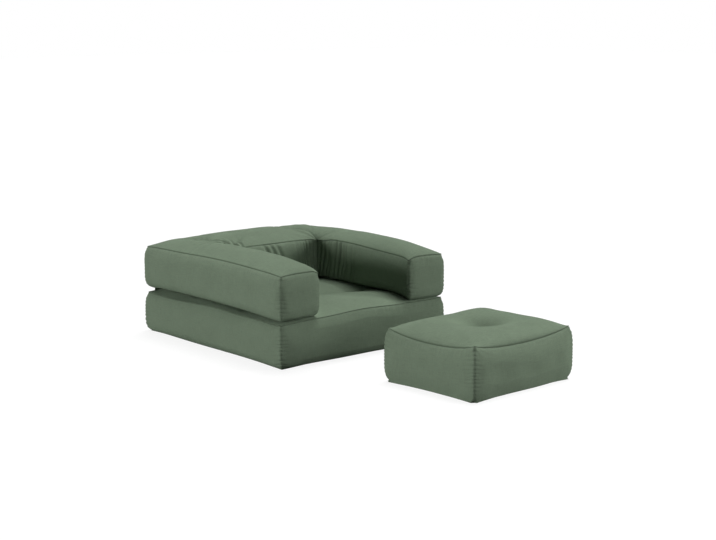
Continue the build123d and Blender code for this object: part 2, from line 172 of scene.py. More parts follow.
class Cover:
    """The grids of one cushion's cover, with the numbers that folds and seams are placed by."""

    def __init__(self, xs, ys, kept):
        gx, gy = np.meshgrid(xs, ys, indexing="ij")
        cx = (xs[:-1] + xs[1:]) / 2
        cy = (ys[:-1] + ys[1:]) / 2
        cells = kept(*np.meshgrid(cx, cy, indexing="ij"))
        used = np.zeros(gx.shape, bool)
        for di in (0, 1):
            for dj in (0, 1):
                used[di:di + cells.shape[0], dj:dj + cells.shape[1]] |= cells
        self.index = np.full(gx.shape, -1)
        self.index[used] = np.arange(used.sum())
        self.x, self.y = gx[used], gy[used]
        i, j = np.nonzero(cells)
        n = self.index
        self.quads = np.stack([n[i, j], n[i + 1, j], n[i + 1, j + 1], n[i, j + 1]], 1)
        self.loop = self.walk()

    def walk(self):
        """The outline's vertices in order, counter-clockwise from above."""
        q = self.quads
        edges = np.concatenate([q[:, [0, 1]], q[:, [1, 2]], q[:, [2, 3]], q[:, [3, 0]]])
        pairs = {(int(a), int(b)) for a, b in edges}
        nexts = {a: b for a, b in pairs if (b, a) not in pairs}
        first = min(nexts, key=lambda v: (self.y[v], self.x[v]))
        order = [first]
        while nexts[order[-1]] != first:
            order.append(nexts[order[-1]])
        return np.array(order)


def added(name, data):
    """A new object of that mesh, lamp or camera, put in the scene."""
    obj = bpy.data.objects.new(name, data)
    bpy.context.scene.collection.objects.link(obj)
    return obj


def mesh_object(name, points, quads, uv, seam):
    """A smooth mesh from arrays: uv in metres for each corner of each quad, and seam from 0 to 1, which
    darkens the cloth for seam lines and for painted shade in creases.
    """
    mesh = bpy.data.meshes.new(name)
    mesh.vertices.add(len(points))
    mesh.vertices.foreach_set("co", np.asarray(points, np.float32).ravel())
    mesh.loops.add(quads.size)
    mesh.loops.foreach_set("vertex_index", quads.astype(np.int32).ravel())
    mesh.polygons.add(len(quads))
    mesh.polygons.foreach_set("loop_start", np.arange(0, quads.size, 4, dtype=np.int32))
    mesh.update(calc_edges=True)
    mesh.polygons.foreach_set("use_smooth", np.ones(len(quads), bool))
    layer = mesh.uv_layers.new(name="cloth")
    layer.data.foreach_set("uv", np.asarray(uv, np.float32).ravel())
    attribute = mesh.attributes.new("seam", "FLOAT", "POINT")
    attribute.data.foreach_set("value", np.asarray(seam, np.float32))
    mesh.validate()
    return added(name, mesh)


def rounded(x, y, corner_x, corner_y, radius):
    """Moves plan points near an outer corner onto a round of that radius."""
    sx, sy = math.copysign(1, corner_x), math.copysign(1, corner_y)
    a = (x * sx - (abs(corner_x) - radius)) / radius
    b = (y * sy - (abs(corner_y) - radius)) / radius
    near = (a > 0) & (b > 0)
    a2 = a * np.sqrt(np.clip(1 - b * b / 2, 0, 1))
    b2 = b * np.sqrt(np.clip(1 - a * a / 2, 0, 1))
    x = np.where(near, sx * (abs(corner_x) - radius + a2 * radius), x)
    y = np.where(near, sy * (abs(corner_y) - radius + b2 * radius), y)
    return x, y


def round_corners(half_x, half_y, radius, x, y):
    """Rounds a box's four corners in plan."""
    for corner_x in (-half_x, half_x):
        for corner_y in (-half_y, half_y):
            x, y = rounded(x, y, corner_x, corner_y, radius)
    return x, y


# The air in a cover: its pressure, how many frames it works for and the most it may move a point
AIR_PRESSURE = 1.5
AIR_FRAMES = 12
SWELL = 0.0035


def settle(obj, points, held):
    """Fills a cover with a little air by cloth simulation, held at its seams and its underside."""
    group = obj.vertex_groups.new(name="held")
    group.add([int(i) for i in np.nonzero(held)[0]], 1, "REPLACE")
    modifier = obj.modifiers.new("air", "CLOTH")
    fabric = modifier.settings
    fabric.quality = 3
    fabric.mass = 0.2
    fabric.tension_stiffness = fabric.compression_stiffness = 12
    fabric.bending_stiffness = 0.2
    fabric.use_pressure = True
    fabric.uniform_pressure_force = AIR_PRESSURE
    fabric.effector_weights.gravity = 0
    fabric.vertex_group_mass = "held"
    scene = bpy.context.scene
    for step in range(1, AIR_FRAMES + 1):
        scene.frame_set(step)
    shaped = obj.evaluated_get(bpy.context.evaluated_depsgraph_get()).to_mesh()
    moved = np.empty(len(points) * 3, np.float32)
    shaped.vertices.foreach_get("co", moved)
    shift = moved.reshape(-1, 3) - points
    length = np.linalg.norm(shift, axis=1, keepdims=True)
    shift = shift * np.minimum(1, SWELL / np.maximum(length, 1e-9))
    obj.modifiers.remove(modifier)
    obj.vertex_groups.remove(group)
    scene.frame_set(1)
    obj.data.vertices.foreach_set("co", (points + shift).astype(np.float32).ravel())
    obj.data.update()


# A sewn seam: how deep the cloth is drawn in at it, how soon the cloth is out again, and the width of
# its dark line, which is the thread and painted shade of its groove
GROOVE = 0.0034
ROLL = 0.0034
SEAM_WIDTH = 0.0017

# How dark an upright seam's line and the painted shade in a crease are, where a sewn rim is 1, and
# from what darkness on a point is held in place
UPRIGHT_SEAM = 0.08
CREASE_SHADE = 0.5
HELD_SEAM = 0.3

# Shifts in metres that cut the underside, the walls and the strip from other places of the cloth
UNDERSIDE_CLOTH = 3
WALL_CLOTH = 7
STRIP_CLOTH = 11

# How far the wall's cloth runs on from its last row to the bottom seam
LAST_ROW = 0.004


def build(
    name, cover, rows, height, *, top, bottom, edge, corner, warp, inset, outward, bulge, folds
):
    """A cover's mesh from its heights, its plan, and how far its walls and their folds stand out.

    rows and height are those of the walls. The rest are functions of x and y over the plan: the two
    heights, the distances to the rim and to the next upright seam, the plan's own places, those of
    the underside's seam, and the walls' directions and bulge. folds gives how far each wall point
    stands out and how deep in a crease it lies, from 0 to 1; that depth darkens the cloth there as
    painted shade.
    """
    x, y = cover.x, cover.y
    rim = edge(x, y)
    wx, wy = warp(x, y)
    top_points = np.stack([wx, wy, top(x, y) - GROOVE * fade(rim, ROLL)], 1)
    bx, by = warp(*inset(x, y))
    bottom_points = np.stack([bx, by, bottom(x, y)], 1)

    loop = cover.loop
    lx, ly = x[loop], y[loop]
    px, py = wx[loop], wy[loop]
    nx, ny = outward(lx, ly)
    run = np.concatenate([[0], np.cumsum(np.hypot(np.diff(px), np.diff(py)))])
    down, (share, inward, out) = wall_section(height, rows)
    tz, bz = top_points[loop, 2], bottom_points[loop, 2]
    m = slice(1, len(down) - 1)
    share, inward, out, down = (v[m, None] for v in (share, inward, out, down))
    wall_z = bz + (tz - bz) * share
    push = bulge(lx, ly)[None, :] * out - GROOVE * fade(down, ROLL)
    stand, painted_crease_shade = folds(lx[None, :] + 0 * wall_z, ly[None, :] + 0 * wall_z, wall_z, share, run)
    push = push + stand
    wall_x = px * (1 - inward) + bottom_points[loop, 0] * inward + nx * push
    wall_y = py * (1 - inward) + bottom_points[loop, 1] * inward + ny * push
    wall = np.stack([wall_x, wall_y, wall_z], 2).reshape(-1, 3)

    # Dark seam lines, the thread with painted shade of their grooves, and painted shade in the creases
    upright = UPRIGHT_SEAM * bell(corner(lx, ly)[None, :] + 0 * wall_z, SEAM_WIDTH)
    seam = np.maximum(upright, CREASE_SHADE * painted_crease_shade)
    seam = np.maximum(seam, bell(down + 0 * wall_z, SEAM_WIDTH))
    seam = np.concatenate([bell(rim, SEAM_WIDTH), bell(rim, SEAM_WIDTH), seam.ravel()])

    count, columns = len(x), len(loop)
    points = np.concatenate([top_points, bottom_points, wall])
    wall_rings = 2 * count + np.arange(len(down) * columns).reshape(-1, columns)
    rings = np.concatenate([[loop], wall_rings, [loop + count]])
    following = np.roll(rings, -1, axis=1)
    wall_quads = np.stack([rings[1:], following[1:], following[:-1], rings[:-1]], 2).reshape(-1, 4)
    quads = np.concatenate([cover.quads, cover.quads[:, ::-1] + count, wall_quads])

    flat = np.stack([x, y], 1)
    seam_run = np.concatenate([run, [run[-1] + np.hypot(px[0] - px[-1], py[0] - py[-1])]])
    depth = np.concatenate([[0], down[:, 0], [down[-1, 0] + LAST_ROW]])
    r, c = np.meshgrid(np.arange(len(rings) - 1), np.arange(columns), indexing="ij")
    corners = [(r + 1, c), (r + 1, c + 1), (r, c + 1), (r, c)]
    wall_uv = np.stack([np.stack([seam_run[b], -depth[a]], 2) for a, b in corners], 2)
    wall_uv = wall_uv.reshape(-1, 4, 2) + WALL_CLOTH
    under_uv = flat[cover.quads[:, ::-1]] + UNDERSIDE_CLOTH
    uv = np.concatenate([flat[cover.quads], under_uv, wall_uv])
    obj = mesh_object(name, points, quads, uv, seam)
    under = np.zeros(len(points), bool)
    under[count:2 * count] = True
    settle(obj, points, (seam > HELD_SEAM) | under)
    smooth = obj.modifiers.new("smooth", "SUBSURF")
    smooth.levels = smooth.render_levels = 1
    return obj


# Tufts and creases on the tops


# The creases that run out of a tuft: where they start, their width there and how it spreads
LINE_START = 0.012
LINE_WIDTH = 0.0055
LINE_SPREAD = 0.09


def tuft(x, y, cx, cy, depth, radius, creases, seed, reach=1.7):
    """A tuft's pull on the cloth: a pinched dimple with short creases running out of it."""
    dx, dy = x - cx, y - cy
    d = np.hypot(dx, dy)
    angle = np.arctan2(dy, dx)
    random = np.random.default_rng(seed)
    dip = depth * (0.68 * np.exp(-((d / radius) ** 1.8)) + 0.32 * np.exp(-d / (radius * 0.3)))
    lines = np.zeros_like(x)
    for i in range(creases):
        heading = 2 * math.pi * (i + random.uniform(-0.3, 0.3)) / creases
        turn = np.angle(np.exp(1j * (angle - heading)))
        width = LINE_WIDTH + LINE_SPREAD * d
        across = np.sin(np.clip(turn, -1.5, 1.5)) * d
        along = rising(d, radius * reach * random.uniform(0.7, 1.2))
        line = random.uniform(0.5, 1) * np.exp(-((across / width) ** 2)) * (1 - along) ** 1.5
        lines += line * (np.cos(turn) > 0)
    return dip + depth * 0.2 * lines * (1 - np.exp(-((d / LINE_START) ** 2)))


def puckers(distance, along, length, seed, reach):
    """Short creases that run off a seam, stronger here and there: 1 in a crease and 0 between them."""
    random = np.random.default_rng(seed)
    phase = random.uniform(0, 6.28, 4)
    turn = along + 0.3 * length * np.sin(along / (2.3 * length) + phase[0])
    turn = turn + 0.16 * length * np.sin(along / (0.9 * length) + phase[1])
    slow = np.sin(along / (7.7 * length) + phase[3])
    strong = 0.55 + 0.45 * np.sin(along / (4.1 * length) + phase[2]) * slow
    return bell(np.sin(math.pi * turn / length), 0.5) * strong * np.exp(-np.abs(distance) / reach)


# Cushions that are boxes


def whole(x, y):
    """Keeps every cell of a box's grid."""
    return np.ones(x.shape, bool)


def box_edge(half_x, half_y):
    """Distance to a box's outline."""
    return lambda x, y: np.minimum(half_x - np.abs(x), half_y - np.abs(y))


def box_inset(half_x, half_y, amount):
    """A box's plan drawn in for the underside's seam, or let out where the amount is below zero."""
    return lambda x, y: (x * (half_x - amount) / half_x, y * (half_y - amount) / half_y)


# How far a corner turns the walls' directions, and how far one wall's bulge passes into the next
CORNER_PULL = 0.035
BULGE_MIX = 0.05


def box_outward(half_x, half_y, turn=0):
    """The way a box's walls stand out: square to the wall, and toward a corner close to it."""
    def outward(x, y):
        ox = np.sign(x) * fade(half_x - np.abs(x), CORNER_PULL)
        oy = np.sign(y) * fade(half_y - np.abs(y), CORNER_PULL)
        c, s = math.cos(turn), math.sin(turn)
        return ox * c - oy * s, ox * s + oy * c
    return outward


def corner_distance(half_x, half_y, x, y):
    """Distance along a box's outline to the nearest corner."""
    return np.maximum(half_x - np.abs(x), half_y - np.abs(y))


def box_corner(half_x, half_y):
    """That distance as a function of x and y."""
    return lambda x, y: corner_distance(half_x, half_y, x, y)


# How far seams are drawn in between corners, and the depth of the puckers along seams
DRAWN_IN = 0.004
PUCKER_DEPTH = 0.0016

# A wall's soft waves: their depth, how much closer they are upwards, and where they start
WAVE_DEPTH = 0.0036
WAVE_STRETCH = 1.6
WAVE_START = 0.1

# A wall's puckers: their distance and how far they run off the top seam
WALL_PUCKER = 0.03
WALL_PUCKER_REACH = 0.02

# Creases at an upright seam: their distance, how far they run and how deep they are
CORNER_CREASE = 0.0155
CORNER_CREASE_REACH = 0.022
CORNER_CREASE_DEPTH = 0.0042

# The pinch under a corner's top and the cloth that is short at its foot
PINCH_DROP = 0.013
PINCH_WIDTH = 0.008
PINCH_DEPTH = 0.0035
FOOT_DEPTH = 0.008
FOOT_WIDTH = 0.045


def box_plan(half_x, half_y, radius, x, y):
    """A box's plan with rounded corners, and with its seams drawn in between them."""
    x, y = round_corners(half_x, half_y, radius, x, y)
    u, v = x / half_x, y / half_y
    x = x - DRAWN_IN * np.sign(x) * u**6 * (1 - v**2)
    return x, y - DRAWN_IN * np.sign(y) * v**6 * (1 - u**2)


def corner_share(near):
    """Share of a wall's bulge, which is less at its corners."""
    return 1 - 0.3 * fade(near, 0.04)


def corner_folds(near, z, share, height, seed):
    """Folds of a wall at its upright seams: how far it stands out, and the painted shade in its creases
    and pinch, from 0 to 1.
    """
    body = np.sin(math.pi * np.clip(share, 0, 1)) ** 0.3
    lines = puckers(near, z + 0.15 * near, CORNER_CREASE, seed, CORNER_CREASE_REACH) * body
    pinch = bell(near, PINCH_WIDTH) * bell((1 - share) * height - PINCH_DROP, PINCH_WIDTH)
    low = np.clip(1 - share / 0.3, 0, 1) ** 2
    shift = -0.0004 * fade(near, 0.003) - FOOT_DEPTH * bell(near, FOOT_WIDTH) * low
    shift = shift - PINCH_DEPTH * pinch - CORNER_CREASE_DEPTH * lines
    # The second value is painted shade, darker in the creases and the pinch
    return shift, np.maximum(0.8 * lines, 0.9 * pinch)


def box_folds(half_x, half_y, height, pucker_height, wave_length, seed):
    """Folds, waves and puckers of a box's walls, with the painted shade in their creases."""
    def folds(x, y, z, share, run):
        near = corner_distance(half_x, half_y, x, y)
        line = run[None, :] + 0 * z
        shift, crease = corner_folds(near, z, share, height, seed + 2)
        wave = WAVE_DEPTH * waves(line, z * WAVE_STRETCH, wave_length, seed + 1)
        shift = shift + wave * np.sin(math.pi * share) * rising(near, WAVE_START)
        down = (1 - share) * pucker_height
        pucker = puckers(down, line, WALL_PUCKER, seed + 3, WALL_PUCKER_REACH)
        return shift - PUCKER_DEPTH * pucker, crease
    return folds


def box_bulge(half_x, half_y, left, right, front, rear):
    """How far a box's walls stand out, each by its own amount, one passing into the next at a corner."""
    def bulge(x, y):
        on_side, on_end = fade(half_x - np.abs(x), BULGE_MIX), fade(half_y - np.abs(y), BULGE_MIX)
        side = left + (right - left) * (x / half_x + 1) / 2
        end = front + (rear - front) * (y / half_y + 1) / 2
        stand = (on_side * side + on_end * end) / (on_side + on_end)
        return stand * corner_share(corner_distance(half_x, half_y, x, y))
    return bulge


def floor_hem(half_x, half_y, lift, seed):
    """Height of an underside: flat on the floor, lifting a little at the rim between corners."""
    def height(x, y):
        rim = box_edge(half_x, half_y)(x, y)
        wave = 0.5 + 0.5 * waves(x, y, 0.34, seed)
        between = rising(corner_distance(half_x, half_y, x, y), 0.12)
        return lift * fade(rim, 0.012) * wave * between
    return height


# Seat cushion

CORNER_RADIUS = 0.006
WALL_ROWS = 82
SEAT_WALL = 0.19
SEAT_INSET = 0.006
HEM_LIFT = 0.006

# The seat's top, one line for each row from front to rear
SEAT_COLS = (-450, -420, -380, -300, -192, 0, 192, 300, 380, 420, 450)
SEAT_ROWS = (-510, -470, -430, -350, -191, 0, 191, 350, 430, 470, 510)
SEAT_TABLE = (
    (189, 191, 192.5, 195.5, 198, 205.5, 199, 198, 197.5, 199, 200),
    (186, 194, 199, 207, 210, 214, 210, 207, 205, 201, 194),
    (187, 192, 197, 212, 217, 222, 217, 212, 203, 197, 192),
    (188, 191, 195, 213, 224, 230, 224, 213, 196, 193, 191),
    (188, 190, 193.5, 210, 210, 220, 210, 210, 194, 191, 190),
    (191, 192, 195, 213, 220, 228, 220, 213, 195, 192, 190),
    (183, 187, 191, 209, 210, 220, 210, 209, 191, 187, 184),
    (179, 185, 190, 211, 223, 229, 223, 211, 190, 185, 182),
    (180, 185, 190, 206, 214, 220, 214, 206, 190, 185, 182),
    (181, 186, 190, 201, 207, 212, 207, 201, 190, 186, 182),
    (184, 186, 188, 191, 193, 197, 193, 191, 188, 186, 184),
)
TUFT_X = 0.192
TUFT_Y = 0.191


def crease(d, depth, width):
    """A sewn-down valley: a broad dip with a sharper line in it."""
    return depth * (0.7 * np.exp(-((d / width) ** 2)) + 0.3 * fade(d, width * 0.2))


def seat_top(x, y):
    """The quilted top: its crown, four valleys that cross at the tufts, the tufts and soft waves."""
    z = surface(SEAT_COLS, SEAT_ROWS, SEAT_TABLE, x, y)
    rim = box_edge(HALF_WIDTH, HALF_DEPTH)(x, y)
    inside = rising(rim, 0.12)
    for cx in (-TUFT_X, TUFT_X):
        wander = cx + 0.006 * np.sin(y * 23 + cx * 40)
        z = z - crease(x - wander, depth=0.006, width=0.045) * inside
    for cy in (-TUFT_Y, TUFT_Y):
        wander = cy + 0.006 * np.sin(x * 21 + cy * 50)
        z = z - crease(y - wander, depth=0.007, width=0.05) * inside
    for i, (cx, cy) in enumerate([(a * TUFT_X, b * TUFT_Y) for a in (-1, 1) for b in (-1, 1)]):
        z = z - tuft(x, y, cx, cy, depth=0.013, radius=0.05, creases=9, seed=20 + i)
    z = z + 0.0016 * waves(x, y, length=0.19, seed=3) * inside
    return z - PUCKER_DEPTH * puckers(rim, x + y, length=0.034, seed=8, reach=0.02)


def seat_warp(x, y):
    """The seat's plan."""
    return box_plan(HALF_WIDTH, HALF_DEPTH, CORNER_RADIUS, x, y)


seat = build(
    "seat_cover",
    Cover(joined(-HALF_WIDTH, HALF_WIDTH), joined(-HALF_DEPTH, HALF_DEPTH), whole),
    WALL_ROWS,
    SEAT_WALL,
    top=seat_top,
    bottom=floor_hem(HALF_WIDTH, HALF_DEPTH, HEM_LIFT, seed=4),
    edge=box_edge(HALF_WIDTH, HALF_DEPTH),
    corner=box_corner(HALF_WIDTH, HALF_DEPTH),
    warp=seat_warp,
    inset=box_inset(HALF_WIDTH, HALF_DEPTH, SEAT_INSET),
    outward=box_outward(HALF_WIDTH, HALF_DEPTH),
    bulge=box_bulge(HALF_WIDTH, HALF_DEPTH, left=0.020, right=0.010, front=0.016, rear=0.013),
    folds=box_folds(HALF_WIDTH, HALF_DEPTH, SEAT_WALL, SEAT_WALL, wave_length=0.23, seed=10),
)


# U-shaped cushion of arms and back

ARMS_WALL = 0.185
ARMS_PUCKERED = 0.19
ARMS_WAVE_DEPTH = 0.0034
ARMS_INSET = 0.014
TUFT_REAR = 0.334

# The arms' highest lines, and how square the crown is from there to the notch
PEAK_LEFT = 0.321
PEAK_RIGHT = 0.336
SQUARE_LEFT = 2.6
SQUARE_RIGHT = 2.0

# The crown in millimetres, from front to rear: place, outer seam, peak, notch side, middle
ARMS_CROWN = np.array([
    (-510, 394, 400, 392, 390), (-493, 395, 413, 393, 391), (-468, 397, 421, 395, 394),
    (-420, 400, 430, 397, 397), (-355, 402, 440, 399, 400), (-225, 406, 447, 405, 405),
    (-95, 408, 448, 411, 411), (30, 407, 447, 411, 410), (158, 404, 443, 406, 405),
    (180, 403.5, 442, 418, 419), (215, 402.5, 440, 431, 431), (260, 401.5, 439, 437, 439),
    (334, 401, 438, 438, 443), (400, 400, 434, 435, 439), (450, 399, 424, 425, 429),
    (485, 397.5, 411, 412, 415), (510, 396, 398, 398, 400),
]).T / 1000


def mirrored(half):
    """One line of a table from its left half, which ends at the middle."""
    return tuple(half) + tuple(reversed(half[:-1]))


# The U's underside, which rests on the seat's top, one line for each row from front to rear
REST_COLS = (-450, -415, -380, -300, -192, 0, 192, 300, 380, 415, 450)
REST_ROWS = (-510, -470, -428, -328, -191, 0, 191, 350, 430, 470, 510)
REST_TABLE = [mirrored(half) for half in (
    (197, 199, 200, 201, 202, 204),
    (199, 201, 206, 212, 213, 214),
    (201, 203, 207, 218, 220, 222),
    (207, 203, 202, 219.5, 230, 232),
    (210, 203, 200.5, 217, 228, 231),
    (212, 204, 202, 219.5, 229, 231),
    (212, 202, 198, 216, 225, 230),
    (210, 201, 197.5, 218, 229, 232),
    (208, 199, 197, 212.5, 220, 222),
    (205, 200, 200, 208, 212, 214),
    (200, 201, 202, 203, 203, 205),
)]


def arms_kept(x, y):
    """Keeps the cells of the U's grid that are outside the notch."""
    return (np.abs(x) > NOTCH_X) | (y > NOTCH_Y)


def arms_edge(x, y):
    """Distance to the U's outline."""
    outer = np.minimum(HALF_WIDTH - np.abs(x), HALF_DEPTH - np.abs(y))
    beside, behind = np.abs(x) - NOTCH_X, y - NOTCH_Y
    inner = np.where(behind < 0, beside, np.where(beside < 0, behind, np.hypot(beside, behind)))
    return np.minimum(outer, np.abs(inner))


def arms_inset(x, y):
    """The plan drawn in from the outline all round, for the underside's seam."""
    a = ARMS_INSET
    across = (-HALF_WIDTH, -NOTCH_X, NOTCH_X, HALF_WIDTH)
    along = (-HALF_DEPTH, NOTCH_Y, HALF_DEPTH)
    new_across = (-HALF_WIDTH + a, -NOTCH_X - a / 2, NOTCH_X + a / 2, HALF_WIDTH - a)
    new_along = (-HALF_DEPTH + a, NOTCH_Y + a, HALF_DEPTH - a)
    return np.interp(x, across, new_across), np.interp(y, along, new_along)


# The round of an arm's front end at the notch and its shift into the notch, and the cloth that
# fills the notch's inner corner
END_RADIUS = 0.012
END_SHIFT = 0.021
FILL = 0.008
FILL_REACH = 0.055


def arms_warp(x, y):
    """The U's plan: rounded corners, seams drawn in at the sides and the rear, and a soft notch."""
    x, y = round_corners(HALF_WIDTH, HALF_DEPTH, CORNER_RADIUS, x, y)
    u, v = x / HALF_WIDTH, y / HALF_DEPTH
    x = x - DRAWN_IN * np.sign(x) * u**6 * (1 - v**2)
    y = y - DRAWN_IN * np.clip(v, 0, 1) ** 6 * (1 - u**2)
    radius = END_RADIUS
    for side in (-1, 1):
        # The arm's front end: a round at the notch's outer corner
        a = ((NOTCH_X + radius) - x * side) / radius
        b = (-y - (HALF_DEPTH - radius)) / radius
        near = (a > 0) & (b > 0) & (x * side > 0)
        x2 = side * (NOTCH_X + radius - a * np.sqrt(np.clip(1 - b * b / 2, 0, 1)) * radius)
        y2 = -(HALF_DEPTH - radius + b * np.sqrt(np.clip(1 - a * a / 2, 0, 1)) * radius)
        x, y = np.where(near, x2, x), np.where(near, y2, y)
        end = fade(x * side - NOTCH_X, 0.03) * fade(y + HALF_DEPTH, 0.04) * (x * side > 0)
        x = x - side * END_SHIFT * end
        # The notch's inner corner, filled to a soft round
        dx, dy = x * side - NOTCH_X, y - NOTCH_Y
        pull = FILL * np.clip(1 - np.hypot(dx, dy) / FILL_REACH, 0, 1) ** 2
        x, y = x - side * pull, y - pull
    return x, y


def arms_crown(x, y):
    """Height of the plain crown: round over each arm, highest towards the notch, and over the back."""
    outer, peak, notch, middle = (hermite(ARMS_CROWN[0], row, y) for row in ARMS_CROWN[1:])
    peak_x = np.where(x < 0, PEAK_LEFT, PEAK_RIGHT)
    square = np.where(x < 0, SQUARE_LEFT, SQUARE_RIGHT) + 2.6 * fade(np.maximum(y + 0.47, 0), 0.05)
    x = np.abs(x)
    beyond = np.clip((x - peak_x) / (HALF_WIDTH - peak_x), 0, 1)
    before = np.clip((peak_x - x) / (peak_x - NOTCH_X), 0, 1)
    inside = rising(x, NOTCH_X)
    z = peak - (peak - outer) * beyond**2.3 - (peak - notch) * before**square
    return np.where(x < NOTCH_X, middle + (notch - middle) * inside**2, z)


def corner_creases(x, y, side, seed):
    """Creases that run out of the notch's inner corner across the cushion."""
    dx, dy = x * side - NOTCH_X, y - NOTCH_Y
    d = np.hypot(dx, dy)
    angle = np.arctan2(dy, dx)
    random = np.random.default_rng(seed)
    total = np.zeros_like(x)
    for j in range(10):
        heading = math.radians(-60 + 26 * j + random.uniform(-8, 8))
        turn = angle - heading
        across = np.sin(np.clip(turn, -1.5, 1.5)) * d
        reach = random.uniform(0.1, 0.2)
        strong = np.clip(1 - d / reach, 0, 1) * (np.abs(turn) < 1.5)
        strong = strong * (0.45 if math.cos(heading) > 0.6 else 1)
        line = random.uniform(0.6, 1) * bell(across, 0.004 + 0.06 * d) * strong
        total += line * (1 - np.exp(-d / 0.012))
    return total


# Short pleats on the back beside the left arm: place, heading in degrees, length and depth
PLEATS = (
    (-0.240, 0.190, 106, 0.035, 0.010), (-0.212, 0.192, 102, 0.042, 0.011),
    (-0.184, 0.184, 98, 0.032, 0.010), (-0.236, 0.268, 112, 0.035, 0.009),
    (-0.158, 0.176, 94, 0.022, 0.008),
)


def pleats(x, y):
    """How deep the pleats are drawn into the back."""
    total = np.zeros_like(x)
    for place_x, place_y, heading, length, depth in PLEATS:
        turn = math.radians(heading)
        dx, dy = x - place_x, y - place_y
        along = dx * math.cos(turn) + dy * math.sin(turn)
        across = dy * math.cos(turn) - dx * math.sin(turn)
        total += depth * bell(across, 0.006) * bell(along, length)
    return total


CORNER_CREASE_LEFT = 0.019
CORNER_CREASE_RIGHT = 0.008


def arms_top(x, y):
    """The top of arms and back: the crown with its pleats, two tufts, creases and soft waves."""
    z = arms_crown(x, y) - pleats(x, y)
    rim = arms_edge(x, y)
    inside = rising(rim, 0.09)
    for i, (side, depth) in enumerate(((-1, CORNER_CREASE_LEFT), (1, CORNER_CREASE_RIGHT))):
        z = z - tuft(
            x, y, side * NOTCH_X, TUFT_REAR, depth=0.034, radius=0.07, creases=11, seed=40 + i, reach=2.6
        )
        z = z - depth * corner_creases(x, y, side, 60 + i)
        # The fold from the notch's corner to the tuft, and the round at the arm's inner front corner
        wander = x * side - NOTCH_X + 0.005 * np.sin(y * 40 + side)
        z = z - 0.008 * bell(wander, 0.02) * bell(y - 0.25, 0.1)
        z = z - 0.006 * bell(x * side - NOTCH_X, 0.02) * fade(y + HALF_DEPTH, 0.04)
    z = z + 0.0018 * waves(x, y, length=0.2, seed=23) * inside
    return z - PUCKER_DEPTH * puckers(rim, x + y, length=0.034, seed=28, reach=0.018)


def arms_bottom(x, y):
    """The U's underside, which follows the seat's top."""
    return surface(REST_COLS, REST_ROWS, REST_TABLE, x, y)


# How near a wall a point has to lie to be one of its points
TOUCH = 1e-4


def arms_corner(x, y):
    """Distance along the outline to the nearest sewn upright corner."""
    outer = corner_distance(HALF_WIDTH, HALF_DEPTH, x, y)
    front = np.maximum(np.abs(np.abs(x) - NOTCH_X), np.abs(y + HALF_DEPTH))
    back = np.maximum(np.abs(np.abs(x) - NOTCH_X), np.abs(y - NOTCH_Y))
    return np.minimum(np.minimum(outer, front), back)


def arms_outward(x, y):
    """The way the U's walls stand out: square to the wall, and toward a corner close to it."""
    side = np.sign(x)
    in_notch = (np.abs(x) < NOTCH_X + TOUCH) & (y < NOTCH_Y + TOUCH)
    front = fade(y + HALF_DEPTH, CORNER_PULL)
    outer_x = side * fade(HALF_WIDTH - np.abs(x), CORNER_PULL)
    outer_x = outer_x - side * fade(np.abs(x) - NOTCH_X, CORNER_PULL) * (y < -HALF_DEPTH + TOUCH)
    outer_y = fade(HALF_DEPTH - y, CORNER_PULL) - front
    inner_x = -side * fade(NOTCH_X - np.abs(x), CORNER_PULL)
    inner_y = -np.maximum(front, fade(NOTCH_Y - y, CORNER_PULL))
    return np.where(in_notch, inner_x, outer_x), np.where(in_notch, inner_y, outer_y)


outer_bulge = box_bulge(HALF_WIDTH, HALF_DEPTH, left=0.021, right=0.010, front=0.016, rear=0.012)
NOTCH_BULGE = 0.012
NOTCH_RECESS = 0.014


def arms_bulge(x, y):
    """How far the U's walls stand out: less at the arms' inner front corners and in the notch's."""
    near = arms_corner(x, y)
    on_back = (np.abs(x) < NOTCH_X - TOUCH) & (np.abs(y - NOTCH_Y) < TOUCH)
    on_arm = (np.abs(np.abs(x) - NOTCH_X) < TOUCH) & (y < NOTCH_Y + TOUCH)
    middle = NOTCH_BULGE + NOTCH_BULGE * np.clip(1 - np.abs(x) / NOTCH_X, 0, 1) ** 0.6
    stand = np.where(on_back, middle, NOTCH_BULGE) * corner_share(near)
    stand = np.where(on_back | on_arm, stand, outer_bulge(x, y))
    stand = stand * (1 - 0.7 * fade(np.hypot(np.abs(x) - NOTCH_X, y + HALF_DEPTH), 0.06))
    recess = NOTCH_RECESS * fade(np.hypot(np.abs(x) - NOTCH_X, y - NOTCH_Y), 0.035)
    return stand - recess * (on_back | on_arm)


# Slanting folds in the middle of the back: place, slant and depth
SLANTS = ((-0.02, 0.35, 1), (0.012, 0.3, 0.85), (0.05, 0.4, 0.7))


